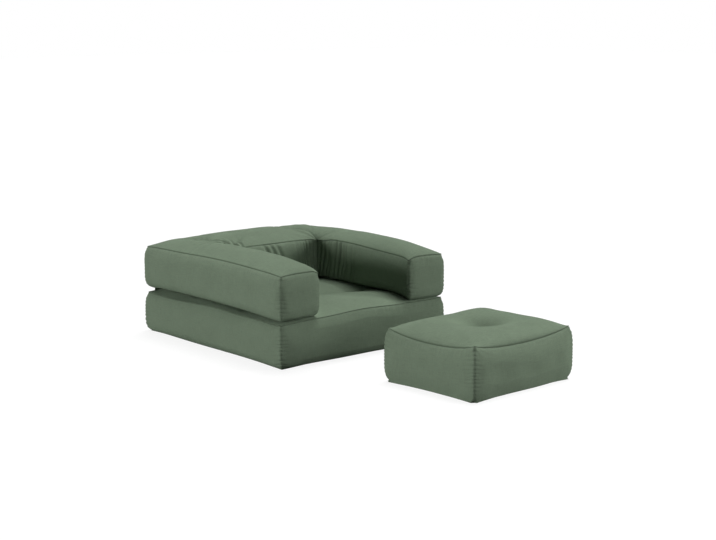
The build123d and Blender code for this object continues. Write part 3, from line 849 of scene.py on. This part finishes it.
def gathers(x, y, z):
    """Upright folds where the inner band is gathered round the notch's corners, from 0 to 1."""
    on_arm = (np.abs(np.abs(x) - NOTCH_X) < TOUCH) & (y < NOTCH_Y + TOUCH) & (y > -HALF_DEPTH + TOUCH)
    on_back = (np.abs(y - NOTCH_Y) < TOUCH) & (np.abs(x) < NOTCH_X)
    up = (z - 0.31) / 0.09
    # Down the arm: folds that lean and bend, about 29 mm apart, fading out forwards
    s = NOTCH_Y - y
    lean = s - 0.014 * up + 0.009 * up**2
    wander = lean + 0.005 * np.sin(lean * 61) + 0.004 * np.sin(lean * 113 + 1)
    wander = wander + 0.002 * np.sin(up * 2.6 + s * 50)
    fold = bell(np.sin(math.pi * wander / 0.029), 0.6)
    strong = np.clip(1.7 - s / 0.21, 0, 1) * (1 - np.exp(-s / 0.012))
    strong = strong * (0.78 + 0.22 * np.sin(s * 71 + 2))
    strong = strong * (0.75 + 0.25 * np.sin(up * 1.7 + s * 37))
    total = np.where(on_arm, fold * strong, 0)
    # Along the back: closer folds in the last stretch before the corner
    s = NOTCH_X - np.abs(x)
    lean = s - 0.006 * up + 0.003 * np.sin(s * 80)
    fold = bell(np.sin(math.pi * lean / 0.021), 0.55)
    strong = np.clip(1.2 - s / 0.12, 0, 1) * (1 - np.exp(-s / 0.015))
    strong = strong * (0.7 + 0.3 * np.sin(s * 97 + 1))
    total = total + np.where(on_back, 0.7 * fold * strong, 0)
    for centre, slant, depth in SLANTS:
        d = x - centre + slant * (z - 0.33)
        total = total + np.where(on_back, 0.8 * depth * bell(d, 0.007), 0)
    return total


GATHER_DEPTH = 0.017


def arms_folds(x, y, z, share, run):
    """Folds, waves, puckers and gathers of the U's walls, with painted shade in their creases and
    gathers.
    """
    near = arms_corner(x, y)
    line = run[None, :] + 0 * z
    body = np.sin(math.pi * np.clip(share, 0, 1))
    shift, crease = corner_folds(near, z, share, ARMS_WALL, 32)
    gathered = gathers(x, y, z) * body**0.3
    wave = ARMS_WAVE_DEPTH * waves(line, z * WAVE_STRETCH, 0.21, 31)
    shift = shift + wave * body * rising(near, WAVE_START)
    down = (1 - share) * ARMS_PUCKERED
    pucker = puckers(down, line, WALL_PUCKER, 33, WALL_PUCKER_REACH)
    shift = shift - PUCKER_DEPTH * pucker - GATHER_DEPTH * gathered
    # The second value is painted shade in the creases and, stronger, in the gathers' folds
    return shift, np.maximum(crease, 1.7 * gathered)


# Closer grid lines where the inner band is gathered: their steps, and how far they reach
GATHER_X_STEP = 0.004
GATHER_Y_STEP = 0.0042
GATHER_X = 0.14
GATHER_Y = -0.12

arms_xs = joined(
    -HALF_WIDTH, -NOTCH_X, -GATHER_X, GATHER_X, NOTCH_X, HALF_WIDTH,
    steps=(STEP, GATHER_X_STEP, STEP, GATHER_X_STEP, STEP),
)
arms_ys = joined(-HALF_DEPTH, GATHER_Y, NOTCH_Y, HALF_DEPTH, steps=(STEP, GATHER_Y_STEP, STEP))
arms = build(
    "arms_cover",
    Cover(arms_xs, arms_ys, arms_kept),
    WALL_ROWS,
    ARMS_WALL,
    top=arms_top,
    bottom=arms_bottom,
    edge=arms_edge,
    corner=arms_corner,
    warp=arms_warp,
    inset=arms_inset,
    outward=arms_outward,
    bulge=arms_bulge,
    folds=arms_folds,
)


# Pouf

POUF_CORNER_RADIUS = 0.007
POUF_WALL_ROWS = 88
POUF_WALL = 0.205
POUF_PUCKERED = 0.2
POUF_INSET = -0.009

# Heights of the pouf's corners and of its crown, and how far its seams hang between the corners
POUF_CORNER = 0.221
POUF_CROWN = 0.2485
POUF_DROOP = 0.026

# The bowl that the pouf's tuft sits in, a little in front of the middle
BOWL_DEPTH = 0.046
BOWL_RADIUS = 0.092
BOWL_Y = -0.004


def pouf_top(x, y):
    """The pouf's top: a flat crown over hanging seams, with a bowl and a tuft in the middle."""
    u, v = np.abs(x / POUF_X), np.abs(y / POUF_Y)
    seam = POUF_CORNER - POUF_DROOP * (1 - u**2.2 * v**2.2)
    z = seam + (POUF_CROWN - seam) * (1 - u**9) * (1 - v**9)
    rim = box_edge(POUF_X, POUF_Y)(x, y)
    z = z + GROOVE * fade(rim, ROLL) * bell(corner_distance(POUF_X, POUF_Y, x, y), 0.03)
    bowl = np.hypot(x, y - BOWL_Y)
    z = z - BOWL_DEPTH * np.exp(-((bowl / BOWL_RADIUS) ** 2.5))
    z = z - tuft(x, y, 0, BOWL_Y, depth=0.012, radius=0.035, creases=7, seed=70, reach=2.4)
    inside = rising(rim, 0.09)
    z = z + 0.0016 * waves(x, y, length=0.17, seed=53) * inside
    return z - PUCKER_DEPTH * puckers(rim, x + y, length=0.032, seed=58, reach=0.018)


def pouf_warp(x, y):
    """The pouf's plan, turned and put in its place."""
    x, y = box_plan(POUF_X, POUF_Y, POUF_CORNER_RADIUS, x, y)
    c, s = math.cos(POUF_TURN), math.sin(POUF_TURN)
    return POUF_PLACE[0] + x * c - y * s, POUF_PLACE[1] + x * s + y * c


pouf = build(
    "pouf_cover",
    Cover(joined(-POUF_X, POUF_X), joined(-POUF_Y, POUF_Y), whole),
    POUF_WALL_ROWS,
    POUF_WALL,
    top=pouf_top,
    bottom=floor_hem(POUF_X, POUF_Y, HEM_LIFT, seed=9),
    edge=box_edge(POUF_X, POUF_Y),
    corner=box_corner(POUF_X, POUF_Y),
    warp=pouf_warp,
    inset=box_inset(POUF_X, POUF_Y, POUF_INSET),
    outward=box_outward(POUF_X, POUF_Y, POUF_TURN),
    bulge=box_bulge(POUF_X, POUF_Y, left=0.019, right=0.018, front=0.019, rear=0.018),
    folds=box_folds(POUF_X, POUF_Y, POUF_WALL, POUF_PUCKERED, wave_length=0.2, seed=60),
)


# Strip of cloth sewn over the crease behind the two cushions

# Half the strip's length, the heights of its edges, how far behind the seams it stands, how far it
# is drawn in over the crease at that height, and its thickness
STRIP_HALF = 0.4
STRIP_LOW = 0.15
STRIP_HIGH = 0.234
STRIP_BEHIND = 0.021
STRIP_BOW = 0.006
CREASE_HEIGHT = 0.205
STRIP_THICKNESS = 0.0015


def hinge_strip():
    """A strip from the seat's rear wall up to the back's, bowed over the crease between them."""
    gx, gt = np.meshgrid(np.linspace(-STRIP_HALF, STRIP_HALF, 95), np.linspace(0, 1, 15), indexing="ij")
    drawn = DRAWN_IN * (1 - (gx / HALF_WIDTH) ** 2)
    z = STRIP_LOW + (STRIP_HIGH - STRIP_LOW) * gt
    y = HALF_DEPTH - drawn + STRIP_BEHIND - STRIP_BOW * bell(z - CREASE_HEIGHT, 0.02)
    y = y + 0.0012 * waves(gx, z, 0.11, 91)
    index = np.arange(gx.size).reshape(gx.shape)
    quads = np.stack([index[1:, :-1], index[:-1, :-1], index[:-1, 1:], index[1:, 1:]], 2)
    quads = quads.reshape(-1, 4)
    flat = np.stack([gx, z], 2).reshape(-1, 2) + STRIP_CLOTH
    edge = bell(gt - 0.06, 0.03) + bell(gt - 0.94, 0.03)
    points = np.stack([gx, y, z], 2).reshape(-1, 3)
    strip = mesh_object("hinge_strip", points, quads, flat[quads], 0.6 * edge.ravel())
    thick = strip.modifiers.new("thickness", "SOLIDIFY")
    thick.thickness = STRIP_THICKNESS
    return strip


strip = hinge_strip()


# Materials


def node(tree, kind, **sockets):
    """A shader node with its inputs set by name."""
    made = tree.nodes.new(kind)
    for name, value in sockets.items():
        made.inputs[name.replace("_", " ")].default_value = value
    return made


def math_node(tree, operation, a, b, c=None):
    """A math node. Its inputs are numbers or sockets."""
    made = tree.nodes.new("ShaderNodeMath")
    made.operation = operation
    for socket, value in zip(made.inputs, (a, b, c)):
        if isinstance(value, (int, float)):
            socket.default_value = value
        elif value is not None:
            tree.links.new(value, socket)
    return made.outputs[0]


def shade(color, brightness):
    """A colour made darker or lighter, with its alpha."""
    return tuple(brightness * c for c in color) + (1,)


def color_mix(tree, factor, first, second):
    """A mix of two colours, each a colour or a socket."""
    mix = tree.nodes.new("ShaderNodeMix")
    mix.data_type = "RGBA"
    tree.links.new(factor, mix.inputs["Factor"])
    for name, value in (("A", first), ("B", second)):
        if isinstance(value, tuple):
            mix.inputs[name].default_value = value
        else:
            tree.links.new(value, mix.inputs[name])
    return mix.outputs["Result"]


def stretched(tree, place, along, across, **sockets):
    """Noise drawn out along one direction of the cloth."""
    mapping = tree.nodes.new("ShaderNodeMapping")
    mapping.inputs["Scale"].default_value = (along, across, 1)
    tree.links.new(place, mapping.inputs["Vector"])
    noise = node(tree, "ShaderNodeTexNoise", Scale=1.0, **sockets)
    tree.links.new(mapping.outputs[0], noise.inputs["Vector"])
    return noise.outputs["Fac"]


# Distance between the cloth's threads, and the scale of a wave texture that repeats by it
THREAD_PITCH = 0.0011
WEAVE_SCALE = 2 * math.pi / (20 * THREAD_PITCH)

# Slubs: the scale of their noise along a thread and across it
SLUB_ALONG = 22.0
SLUB_ACROSS = 420.0

# Shares of the weave, slubs, fluff and mottling in the cloth's tone, and what the tone starts from
WEAVE_TONE = 0.35
SLUB_TONE = 0.6
FLUFF_TONE = 0.2
MOTTLE_TONE = 0.3
TONE_START = 0.42

# Brightness of the darkest and lightest threads, and of the dark seam lines and painted crease shade, as
# shares of the cloth's colour
DARK_THREAD = 0.66
LIGHT_THREAD = 1.3
SEAM_SHADE = 0.3


def cloth_material(name, color):
    """Plain-woven cotton: threads over and under, slubs, a soft nap, dark seam lines with painted shade
    in their grooves and in creases, and slight unevenness.
    """
    material = bpy.data.materials.new(name)
    material.use_nodes = True
    tree = material.node_tree
    link = tree.links.new
    shader = tree.nodes["Principled BSDF"]
    shader.inputs["Roughness"].default_value = 0.95
    shader.inputs["Specular IOR Level"].default_value = 0.08
    shader.inputs["Sheen Weight"].default_value = 0.06
    shader.inputs["Sheen Roughness"].default_value = 0.5
    shader.inputs["Sheen Tint"].default_value = (0.75, 1, 0.72, 1)
    uv = tree.nodes.new("ShaderNodeUVMap")
    uv.uv_map = "cloth"
    weave = []
    for axis in ("X", "Y"):
        wave = node(
            tree, "ShaderNodeTexWave", Scale=WEAVE_SCALE, Distortion=0.9, Detail=1.0, Detail_Scale=1.2
        )
        wave.bands_direction = axis
        link(uv.outputs[0], wave.inputs["Vector"])
        weave.append(wave.outputs["Fac"])
    cross = math_node(tree, "MULTIPLY", weave[0], weave[1])
    slubs = math_node(
        tree, "ADD",
        stretched(tree, uv.outputs[0], SLUB_ALONG, SLUB_ACROSS, Detail=3.0, Roughness=0.6),
        stretched(tree, uv.outputs[0], SLUB_ACROSS, SLUB_ALONG, Detail=3.0, Roughness=0.6),
    )
    place = tree.nodes.new("ShaderNodeTexCoord")
    fluff = node(tree, "ShaderNodeTexNoise", Scale=620.0, Detail=3.0, Roughness=0.6)
    mottle = node(tree, "ShaderNodeTexNoise", Scale=9.0, Detail=5.0, Roughness=0.62)
    link(place.outputs["Object"], fluff.inputs["Vector"])
    link(place.outputs["Object"], mottle.inputs["Vector"])
    tone = math_node(tree, "MULTIPLY", mottle.outputs["Fac"], MOTTLE_TONE)
    tone = math_node(tree, "MULTIPLY_ADD", cross, WEAVE_TONE, tone)
    tone = math_node(tree, "MULTIPLY_ADD", slubs, SLUB_TONE, tone)
    tone = math_node(tree, "MULTIPLY_ADD", fluff.outputs["Fac"], FLUFF_TONE, tone)
    tone = math_node(tree, "SUBTRACT", tone, TONE_START)
    tint = color_mix(tree, tone, shade(color, DARK_THREAD), shade(color, LIGHT_THREAD))
    # The seam attribute darkens the colour for seam lines and for painted shade in grooves and creases
    line = tree.nodes.new("ShaderNodeAttribute")
    line.attribute_name = "seam"
    seam_and_crease_shade = math_node(tree, "MULTIPLY", line.outputs["Fac"], 0.7)
    shaded_tint = color_mix(tree, seam_and_crease_shade, tint, shade(color, SEAM_SHADE))
    link(shaded_tint, shader.inputs["Base Color"])
    bump = node(tree, "ShaderNodeBump", Strength=0.35, Distance=0.0006)
    height = math_node(tree, "ADD", fluff.outputs["Fac"], slubs)
    height = math_node(tree, "MULTIPLY_ADD", cross, 0.6, height)
    link(height, bump.inputs["Height"])
    link(bump.outputs[0], shader.inputs["Normal"])
    return material


def plain_material(name, color, scale, roughness):
    """Foam, felt or cord: fine noise in colour and relief."""
    material = bpy.data.materials.new(name)
    material.use_nodes = True
    tree = material.node_tree
    shader = tree.nodes["Principled BSDF"]
    shader.inputs["Roughness"].default_value = roughness
    place = tree.nodes.new("ShaderNodeTexCoord")
    noise = node(tree, "ShaderNodeTexNoise", Scale=scale, Detail=4.0)
    tree.links.new(place.outputs["Object"], noise.inputs["Vector"])
    tint = color_mix(tree, noise.outputs["Fac"], shade(color, 0.75), shade(color, 1))
    tree.links.new(tint, shader.inputs["Base Color"])
    bump = node(tree, "ShaderNodeBump", Strength=0.5, Distance=0.001)
    tree.links.new(noise.outputs["Fac"], bump.inputs["Height"])
    tree.links.new(bump.outputs[0], shader.inputs["Normal"])
    return material


cloth = cloth_material("green_cotton", (0.156, 0.205, 0.144))
foam = plain_material("foam", (0.72, 0.6, 0.32), 900.0, 0.9)
felt = plain_material("felt", (0.6, 0.57, 0.5), 300.0, 0.95)
cord = plain_material("cord", (0.08, 0.105, 0.075), 700.0, 0.9)

for piece, body in ((seat, "seat"), (arms, "arms"), (pouf, "pouf")):
    piece.data.materials.append(cloth)
    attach(piece, body)
box_nodes = (
    "top_panel", "bottom_panel", "front_band", "left_band", "right_band", "rear_band",
    "upper_felt", "lower_felt",
)
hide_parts(*[f"seat_{n}" for n in box_nodes])
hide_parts(*[f"pouf_{n}" for n in box_nodes])
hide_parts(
    "arms_top_panel", "arms_bottom_panel", "left_arm_outer_band", "right_arm_outer_band",
    "back_outer_band", "left_arm_front_panel", "right_arm_front_panel", "inner_band",
    "arms_upper_felt", "arms_lower_felt",
)
strip.data.materials.append(cloth)
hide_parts("hinge_cloth")
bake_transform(strip)
inner_materials = {"foam": foam, "felt": felt, "ties": cord}
for name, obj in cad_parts.items():
    kinds = [material for word, material in inner_materials.items() if word in name]
    obj.data.materials.clear()
    obj.data.materials.append(kinds[0] if kinds else cloth)


# Floor, light and camera

WHITE = (1, 1, 1, 1)
FLOOR_REACH = 30


def cleared_tree(owner):
    """The empty node tree of a material or a world."""
    owner.use_nodes = True
    owner.node_tree.nodes.clear()
    return owner.node_tree


def by_ray(tree, output, for_others, for_camera):
    """Gives the camera's rays one shader and all other rays another."""
    seen = tree.nodes.new("ShaderNodeLightPath")
    choice = tree.nodes.new("ShaderNodeMixShader")
    tree.links.new(seen.outputs["Is Camera Ray"], choice.inputs[0])
    tree.links.new(for_others.outputs[0], choice.inputs[1])
    tree.links.new(for_camera.outputs[0], choice.inputs[2])
    tree.links.new(choice.outputs[0], tree.nodes.new(output).inputs[0])


def floor_material():
    """White paper that still takes a faint shadow, and that throws little light back."""
    material = bpy.data.materials.new("white_floor")
    tree = cleared_tree(material)
    matte = node(tree, "ShaderNodeBsdfDiffuse", Color=(0.16, 0.16, 0.16, 1))
    glow = node(tree, "ShaderNodeEmission", Color=WHITE, Strength=0.88)
    both = tree.nodes.new("ShaderNodeAddShader")
    tree.links.new(matte.outputs[0], both.inputs[0])
    tree.links.new(glow.outputs[0], both.inputs[1])
    dim = node(tree, "ShaderNodeBsdfDiffuse", Color=(0.12, 0.12, 0.12, 1))
    by_ray(tree, "ShaderNodeOutputMaterial", dim, both)
    return material


def studio_world():
    """White to the camera, and a faint fill for the cloth."""
    made = bpy.data.worlds.new("studio")
    tree = cleared_tree(made)
    fill = node(tree, "ShaderNodeBackground", Color=WHITE, Strength=0.03)
    back = node(tree, "ShaderNodeBackground", Color=WHITE, Strength=1.0)
    by_ray(tree, "ShaderNodeOutputWorld", fill, back)
    return made


floor_mesh = bpy.data.meshes.new("floor")
floor_corners = [(a * FLOOR_REACH, b * FLOOR_REACH, 0) for a, b in ((-1, -1), (1, -1), (1, 1), (-1, 1))]
floor_mesh.from_pydata(floor_corners, [], [(0, 1, 2, 3)])
floor_mesh.materials.append(floor_material())
floor = added("floor", floor_mesh)
bpy.context.scene.world = studio_world()


def sun(name, energy, angle, direction):
    """A soft lamp far away, shining along a direction that isn't straight down."""
    data = bpy.data.lights.new(name, "SUN")
    data.energy = energy
    data.angle = angle
    lamp = added(name, data)
    down = np.array((0, 0, -1.0))
    to = np.array(direction, float) / np.linalg.norm(direction)
    axis = np.cross(down, to)
    turn = math.acos(np.clip(down @ to, -1, 1))
    lamp.rotation_mode = "AXIS_ANGLE"
    lamp.rotation_axis_angle = (turn, *(axis / np.linalg.norm(axis)))


sun("key", 2.54, 0.5, (-0.25, -0.18, -0.95))
sun("left_wall", 3.05, 0.3, (0.9, -0.38, -0.07))
sun("right_front", 1.76, 0.35, (-0.71, 0.62, -0.33))
sun("front_wall", 0.45, 0.5, (0.2, 0.97, -0.13))

# A square lamp near the pouf, for its right side
near_data = bpy.data.lights.new("pouf_side", "AREA")
near_data.energy = 2.5
near_data.size = 0.6
near_lamp = added("pouf_side", near_data)
near_lamp.location = (0.75, -2.0, 0.4)
near_lamp.rotation_euler = (math.radians(70), 0, math.radians(38.5))

# The camera as it was fitted to the photograph, in metres, millimetres and degrees
CAMERA_PLACE = (-4.174, -5.469, 1.514)
CAMERA_LENS = 77.55
CAMERA_DOWN = 10.01
CAMERA_HEADING = -39.82

camera_data = bpy.data.cameras.new("camera")
camera_data.sensor_width = 36
camera_data.lens = CAMERA_LENS
camera_data.clip_end = 100
camera = added("camera", camera_data)
camera.location = CAMERA_PLACE
camera.rotation_euler = (math.radians(90 - CAMERA_DOWN), 0, math.radians(CAMERA_HEADING))
bpy.context.scene.camera = camera
bpy.context.scene.view_settings.view_transform = "Standard"
